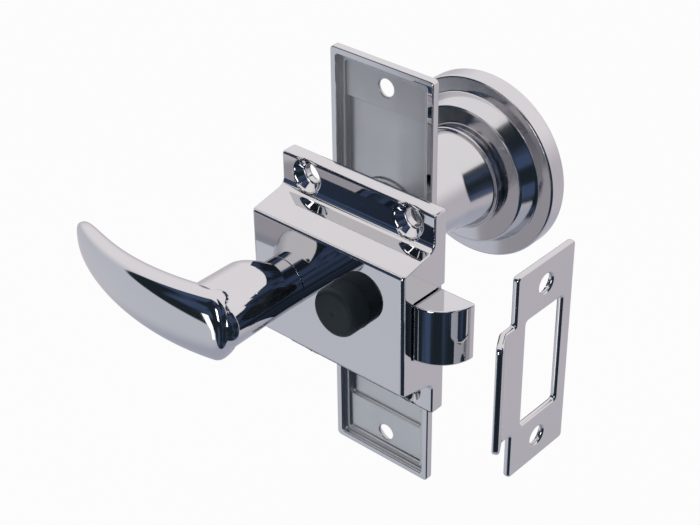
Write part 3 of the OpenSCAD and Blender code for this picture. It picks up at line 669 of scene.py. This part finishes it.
def carved(name, node, shells, cutters):
    """Piece that stands for a node: closed shells joined into one skin, with holes cut into it."""
    blanks = []
    for bm in shells + cutters:
        mesh = bpy.data.meshes.new("blank")
        bm.to_mesh(mesh)
        bm.free()
        blanks.append(bpy.data.objects.new("blank", mesh))
        bpy.context.scene.collection.objects.link(blanks[-1])
    for i, other in enumerate(blanks[1:], 1):
        step = blanks[0].modifiers.new("carve", "BOOLEAN")
        step.operation = "UNION" if i < len(shells) else "DIFFERENCE"
        step.solver = "EXACT"
        step.object = other
    done = blanks[0].evaluated_get(bpy.context.evaluated_depsgraph_get())
    bm = bmesh.new()
    bm.from_mesh(done.data)
    for blank in blanks:
        mesh = blank.data
        bpy.data.objects.remove(blank)
        bpy.data.meshes.remove(mesh)
    bmesh.ops.remove_doubles(bm, verts=bm.verts, dist=WELD)
    smooth(bm)
    piece = piece_from(name, bm, node)
    normals = piece.modifiers.new("flat_faces_stay_flat", "WEIGHTED_NORMAL")
    normals.keep_sharp = True
    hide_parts(node)
    return piece


def lever():
    """Lever with its socket for the spindle and the hole of its set screw."""
    socket = spindle_socket(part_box("spindle")[0].y - SOCKET_GAP, STEM_Y + 2 * JOURNAL_L)
    shells = [lever_arm(), lever_stem(), stem_swell()]
    carved("lever_skin", "lever_handle", shells, [socket, grub_hole(LEVER_GRUB_Y, 2 * STEM_END_R)])


def corner(a, b, c, r):
    """Points that round the corner b between its neighbours a and c."""
    if r == 0:
        return [b]
    u = (a - b).normalized()
    v = (c - b).normalized()
    half = u.angle(v) / 2
    centre = b + (u + v).normalized() * r / math.sin(half)
    start = b + u * r / math.tan(half) - centre
    stop = b + v * r / math.tan(half) - centre
    turn = math.atan2(start.cross(stop), start.dot(stop))
    return [centre + Matrix.Rotation(turn * i / CORNER_STEPS, 2) @ start for i in range(CORNER_STEPS + 1)]


def rounded(points):
    """Open outline with its corners rounded, from places and radii."""
    places = [Vector(p[:2]) for p in points]
    outline = [places[0]]
    for i in range(1, len(points) - 1):
        outline += corner(places[i - 1], places[i], places[i + 1], points[i][2])
    return outline + [places[-1]]


def knob():
    """Knob turned from a shank, a flared neck, a ring, a hub, a rim and a dome."""
    low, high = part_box("knob")
    rim_front_y = high.y - KNOB_DOME
    rim_y = rim_front_y - KNOB_RIM_T
    hub_y = rim_y - HUB_L
    ring_back_y = hub_y - HUB_BACK_L
    ring_y = ring_back_y - NECK_RING_T
    neck_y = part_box("knob_bush")[1].y + NECK_GAP
    bell_l = ring_y - neck_y
    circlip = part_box("knob_circlip")
    outline = rounded([
        (0, low.y, 0),
        (SHANK_R, low.y, KNOB_EDGE_R),
        (SHANK_R, circlip[0].y - RUN_GAP, 0),
        (SHANK_R - GROOVE_DEPTH, circlip[0].y - RUN_GAP, 0),
        (SHANK_R - GROOVE_DEPTH, circlip[1].y + RUN_GAP, 0),
        (SHANK_R, circlip[1].y + RUN_GAP, 0),
        (SHANK_R, neck_y, 0),
        (NECK_R, neck_y, KNOB_EDGE_R),
        (NECK_R + BELL_FLARE, neck_y + bell_l * BELL_SHARE, BELL_HOLLOW_R),
        (NECK_RING_R - NECK_RING_STEP, ring_y, 0),
        (NECK_RING_R, ring_y, KNOB_EDGE_R),
        (NECK_RING_R, ring_back_y, KNOB_EDGE_R),
        (NECK_RING_R - RING_GROOVE, ring_back_y, 0),
        (NECK_RING_R - RING_GROOVE, ring_back_y + HUB_FACE_SINK, 0),
        (HUB_R - HUB_EDGE_IN, hub_y - HUB_EDGE_UP, HUB_EDGE_R),
        (HUB_R + HUB_ROOT_OUT, rim_y - RIM_BACK_UP, HUB_ROOT_R),
        (KNOB_R, rim_y - RIM_BACK_UP, RIM_BACK_R),
        (KNOB_R, rim_front_y, RIM_FRONT_R),
        (KNOB_R * DOME_SHARE, high.y - KNOB_DOME * DOME_FALL, DOME_R),
        (0, high.y, 0),
    ])
    socket = spindle_socket(low.y - KNOB_EDGE_R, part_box("spindle")[1].y + SOCKET_GAP)
    hole = grub_hole(neck_y + bell_l * BELL_SHARE / 2, KNOB_R)
    piece = carved("knob_skin", "knob", [turned(outline, KNOB_POINTS)], [socket, hole])
    piece.data.materials[0] = TURNED


def bolt_spring():
    """Spring in the case, behind the bolt: a polished copy of the frame's spring, with a mesh of its own.
    """
    piece = polished("bolt_spring_coil", "bolt_spring", 0)
    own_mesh(piece)


def outside_plate():
    """Plate with a satin hollow towards the door and polish everywhere else."""
    piece = polished("outside_plate_skin", "outside_plate", PLATE_EDGE)
    piece.data.materials.append(SATIN)
    low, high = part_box("outside_plate")
    start_y = low.y + HOLLOW_START
    stop_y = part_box("back_cover")[1].y + DOOR_T + HOLLOW_DEPTH
    for face in piece.data.polygons:
        x, y, z = face.center
        within_x = low.x + HOLLOW_INSET < x < high.x - HOLLOW_INSET
        within_z = low.z + HOLLOW_INSET < z < high.z - HOLLOW_INSET
        if start_y < y < stop_y and within_x and within_z and face.normal.y < FACING_OUT:
            face.material_index = 1


def ring_outline(middle_z, radius):
    """Circle on the strike's middle line, as an outline of a hole."""
    points = []
    for i in range(RING_POINTS):
        a = -2 * math.pi * i / RING_POINTS
        points.append(Vector((STRIKE_Y + radius * math.cos(a), middle_z + radius * math.sin(a))))
    return points


def closed(points):
    """Closed outline with its corners rounded, from places and radii."""
    places = [Vector(p[:2]) for p in points]
    outline = []
    for i, point in enumerate(points):
        outline += corner(places[i - 1], places[i], places[(i + 1) % len(points)], point[2])
    return outline


def strike_outlines(bend_y, lip_l):
    """Outlines of the flat strike with its lip straight, in Y and Z: edge, window and screw holes."""
    half_w = STRIKE_W / 2
    half_h = STRIKE_H / 2
    half_lip = LIP_H / 2
    root_y = STRIKE_Y - half_w
    tip_y = bend_y - lip_l
    notch_r = STRIKE_CORNER_R / 2
    edge = closed([
        (STRIKE_Y + half_w, -half_h, STRIKE_CORNER_R),
        (STRIKE_Y + half_w, half_h, STRIKE_CORNER_R),
        (root_y, half_h, STRIKE_CORNER_R),
        (root_y, half_lip, notch_r),
        (tip_y, half_lip, LIP_CORNER_R),
        (tip_y, -half_lip, LIP_CORNER_R),
        (root_y, -half_lip, notch_r),
        (root_y, -half_h, STRIKE_CORNER_R),
    ])
    window = closed([
        (STRIKE_Y - WINDOW_W / 2, -WINDOW_H / 2, WINDOW_CORNER_R),
        (STRIKE_Y - WINDOW_W / 2, WINDOW_H / 2, WINDOW_CORNER_R),
        (STRIKE_Y + WINDOW_W / 2, WINDOW_H / 2, WINDOW_CORNER_R),
        (STRIKE_Y + WINDOW_W / 2, -WINDOW_H / 2, WINDOW_CORNER_R),
    ])
    holes = [ring_outline(z, SCREW_HOLE_R) for z in (-STRIKE_SCREW_Z, STRIKE_SCREW_Z)]
    return [edge, window] + holes


def sheet_metal(outlines):
    """
    Flat sheet with rounded edges over outlines in Y and Z, whose holes run the other way round.
    The curve is drawn in millimetres, because Blender fills very small curves badly.
    """
    curve = bpy.data.curves.new("blank", "CURVE")
    curve.dimensions = "2D"
    curve.fill_mode = "BOTH"
    curve.extrude = (STRIKE_T / 2 - STRIKE_EDGE) / MM
    curve.bevel_depth = STRIKE_EDGE / MM
    curve.bevel_resolution = EDGE_STEPS
    curve.offset = -STRIKE_EDGE / MM
    for outline in outlines:
        spline = curve.splines.new("POLY")
        spline.points.add(len(outline) - 1)
        for point, (y, z) in zip(spline.points, outline):
            point.co = (y / MM, z / MM, 0, 1)
        spline.use_cyclic_u = True
    obj = bpy.data.objects.new("blank", curve)
    bpy.context.scene.collection.objects.link(obj)
    done = obj.evaluated_get(bpy.context.evaluated_depsgraph_get())
    bm = bmesh.new()
    bm.from_mesh(done.to_mesh())
    bpy.data.objects.remove(obj)
    bpy.data.curves.remove(curve)
    for vert in bm.verts:
        y, z, x = vert.co * MM
        vert.co = (STRIKE_X - STRIKE_T / 2 + x, y, z)
    bmesh.ops.remove_doubles(bm, verts=bm.verts, dist=WELD)
    bmesh.ops.recalc_face_normals(bm, faces=bm.faces)
    return bm


def bend_lip(bm, bend_y, arc_l):
    """Bends what lies before bend_y away from the bolt, round an axis in front of the sheet."""
    for i in range(LIP_BEND_CUTS + 1):
        cut = Vector((0, bend_y - arc_l * i / LIP_BEND_CUTS, 0))
        geom = bm.verts[:] + bm.edges[:] + bm.faces[:]
        bmesh.ops.bisect_plane(bm, geom=geom, plane_co=cut, plane_no=(0, 1, 0), dist=WELD)
    axis_x = STRIKE_X + LIP_BEND_R
    for vert in bm.verts:
        along = bend_y - vert.co.y
        if along <= 0:
            continue
        a = LIP_BEND * min(along / arc_l, 1)
        beyond = max(along - arc_l, 0)
        r = axis_x - vert.co.x
        vert.co.x = axis_x - r * math.cos(a) + beyond * math.sin(a)
        vert.co.y = bend_y - r * math.sin(a) - beyond * math.cos(a)


def join_flat(mesh):
    """Joins the triangles of flat faces, so that their shading stays flat up to the edge."""
    bm = bmesh.new()
    bm.from_mesh(mesh)
    bmesh.ops.dissolve_limit(bm, angle_limit=FLAT_ANGLE, verts=bm.verts, edges=bm.edges)
    smooth(bm)
    bm.to_mesh(mesh)
    bm.free()


def countersink(z):
    """Cutter for the sunk head of a screw, on the bolt's side of the strike."""
    bm = bmesh.new()
    place = Matrix.Translation((STRIKE_X - STRIKE_T + SINK_DEPTH / 2, STRIKE_Y, z))
    turn = Matrix.Rotation(math.pi / 2, 4, "Y")
    bmesh.ops.create_cone(
        bm, cap_ends=True, segments=RING_POINTS, radius1=SCREW_HOLE_R + SINK_DEPTH, radius2=SCREW_HOLE_R,
        depth=SINK_DEPTH, matrix=place @ turn,
    )
    return bm


def strike():
    """Strike stamped from sheet: rounded edges all round, and a lip that bends away from the bolt."""
    arc_l = (LIP_BEND_R + STRIKE_T / 2) * LIP_BEND
    tangent = LIP_BEND_R * math.tan(LIP_BEND / 2)
    bend_y = STRIKE_Y - STRIKE_W / 2 - LIP_FLAT + tangent
    bm = sheet_metal(strike_outlines(bend_y, arc_l + LIP_L - tangent))
    bend_lip(bm, bend_y, arc_l)
    cutters = [countersink(z) for z in (-STRIKE_SCREW_Z, STRIKE_SCREW_Z)]
    piece = carved("strike_skin", "strike_plate", [bm], cutters)
    piece.data.materials[0] = STAMPED
    join_flat(piece.data)


def camera():
    """Camera of the photograph."""
    a = math.radians(CAMERA_AZIMUTH)
    back = direction(CAMERA_AZIMUTH, CAMERA_ELEVATION)
    right = Vector((math.cos(a), math.sin(a), 0))
    up = back.cross(right)
    r = math.radians(CAMERA_ROLL)
    level = Matrix((right * math.cos(r) + up * math.sin(r), up * math.cos(r) - right * math.sin(r), back))
    data = bpy.data.cameras.new("photo_camera")
    data.sensor_fit = "HORIZONTAL"
    data.sensor_width = SENSOR_WIDTH
    data.lens = SENSOR_WIDTH * FOCAL_PIXELS / PHOTO_WIDTH
    data.clip_start = CLIP_START
    data.clip_end = CLIP_END
    obj = bpy.data.objects.new("photo_camera", data)
    place = back * CAMERA_DISTANCE + level[0] * CAMERA_RIGHT + level[1] * CAMERA_UP
    obj.matrix_world = Matrix.Translation(place) @ level.transposed().to_4x4()
    bpy.context.scene.collection.objects.link(obj)
    bpy.context.scene.camera = obj


def world():
    """White for the camera, and for the metal a pale studio with dark sides and a white card."""
    studio = bpy.data.worlds.new("studio")
    studio.use_nodes = True
    tree = studio.node_tree
    shade = tree.nodes["Background"]
    place = node_of(tree, "ShaderNodeTexCoord")
    parts = node_of(tree, "ShaderNodeSeparateXYZ")
    tree.links.new(place.outputs["Generated"], parts.inputs["Vector"])
    x, y, z = (parts.outputs[name] for name in "XYZ")
    pale = mixed(tree, stepped(tree, y, *FRONT_TO_BACK), FRONT_COLOUR, BACK_COLOUR)
    pale = mixed(tree, stepped(tree, z, *SIDE_TO_SKY), pale, SKY_COLOUR)
    pale = mixed(tree, stepped(tree, z, *SIDE_TO_FLOOR), pale, FLOOR_COLOUR)
    azimuth = number(tree, "ARCTAN2", x, number(tree, "MULTIPLY", y, -1))
    elevation = number(tree, "ARCSINE", z)
    dark = 0
    for middle, height, half_width, half_height in DARK_SIDES:
        across = ellipse_share(tree, azimuth, middle, half_width)
        upward = ellipse_share(tree, elevation, height, half_height)
        outside = number(tree, "ADD", across, upward)
        inside = stepped(tree, outside, 1 + DARK_EDGE, 1 - DARK_EDGE)
        dark = number(tree, "MAXIMUM", inside, dark)
    patches = node_of(tree, "ShaderNodeTexNoise")
    patches.inputs["Scale"].default_value = PATCH_SCALE
    tree.links.new(place.outputs["Generated"], patches.inputs["Vector"])
    spots = stepped(tree, patches.outputs["Fac"], PATCH_START, PATCH_FULL)
    room = mixed(tree, spots, DARK_COLOUR, PATCH_COLOUR)
    seen = mixed(tree, dark, pale, room)
    across = ellipse_share(tree, azimuth, CARD_AZIMUTH, CARD_HALF_WIDTH)
    upward = ellipse_share(tree, elevation, CARD_ELEVATION, CARD_HALF_HEIGHT)
    card = stepped(tree, number(tree, "MAXIMUM", across, upward), 1 + DARK_EDGE, 1 - DARK_EDGE)
    seen = mixed(tree, card, seen, CARD_COLOUR)
    rays = node_of(tree, "ShaderNodeLightPath")
    tree.links.new(mixed(tree, rays.outputs["Is Camera Ray"], seen, WHITE), shade.inputs["Color"])
    bpy.context.scene.world = studio


def key_light():
    """Soft window in front."""
    data = bpy.data.lights.new("window", "AREA")
    data.shape = "RECTANGLE"
    data.size = KEY_WIDTH
    data.size_y = KEY_HEIGHT
    data.energy = KEY_POWER
    obj = bpy.data.objects.new("window", data)
    towards = direction(KEY_AZIMUTH, KEY_ELEVATION)
    obj.location = towards * KEY_DISTANCE
    obj.rotation_mode = "QUATERNION"
    obj.rotation_quaternion = (-towards).to_track_quat("-Z", "Y")
    bpy.context.scene.collection.objects.link(obj)


def floor():
    """Pale floor, nearly white to the camera so that only a soft shadow shows."""
    bm = bmesh.new()
    bmesh.ops.create_grid(bm, x_segments=1, y_segments=1, size=FLOOR_SIZE / 2)
    mesh = bpy.data.meshes.new("floor")
    bm.to_mesh(mesh)
    bm.free()
    obj = bpy.data.objects.new("floor", mesh)
    obj.location.z = cad_box[0].z - FLOOR_GAP
    bpy.context.scene.collection.objects.link(obj)
    material = bpy.data.materials.new("pale_floor")
    material.use_nodes = True
    tree = material.node_tree
    paper = tree.nodes["Principled BSDF"]
    paper.inputs["Roughness"].default_value = PAPER_ROUGHNESS
    fibres = noise_of(tree, PAPER_GRAIN, PAPER_DETAIL)
    tree.links.new(mixed(tree, fibres, PAPER_LIGHT, PAPER_DARK), paper.inputs["Base Color"])
    glow = node_of(tree, "ShaderNodeEmission")
    rays = node_of(tree, "ShaderNodeLightPath")
    share = number(tree, "MULTIPLY", rays.outputs["Is Camera Ray"], FLOOR_GLOW)
    both = node_of(tree, "ShaderNodeMixShader")
    tree.links.new(share, both.inputs["Fac"])
    tree.links.new(paper.outputs["BSDF"], both.inputs[1])
    tree.links.new(glow.outputs["Emission"], both.inputs[2])
    tree.links.new(both.outputs["Shader"], tree.nodes["Material Output"].inputs["Surface"])
    obj.data.materials.append(material)
    obj.visible_glossy = False


bpy.context.scene.view_settings.view_transform = "Standard"
camera()
world()
key_light()
floor()
paint_frame()
case()
knob()
polished("latch_bolt_skin", "latch_bolt", CAST_EDGE)
bolt_spring()
strike()
polished("lock_button_skin", "lock_button", 0)
outside_plate()
lever()
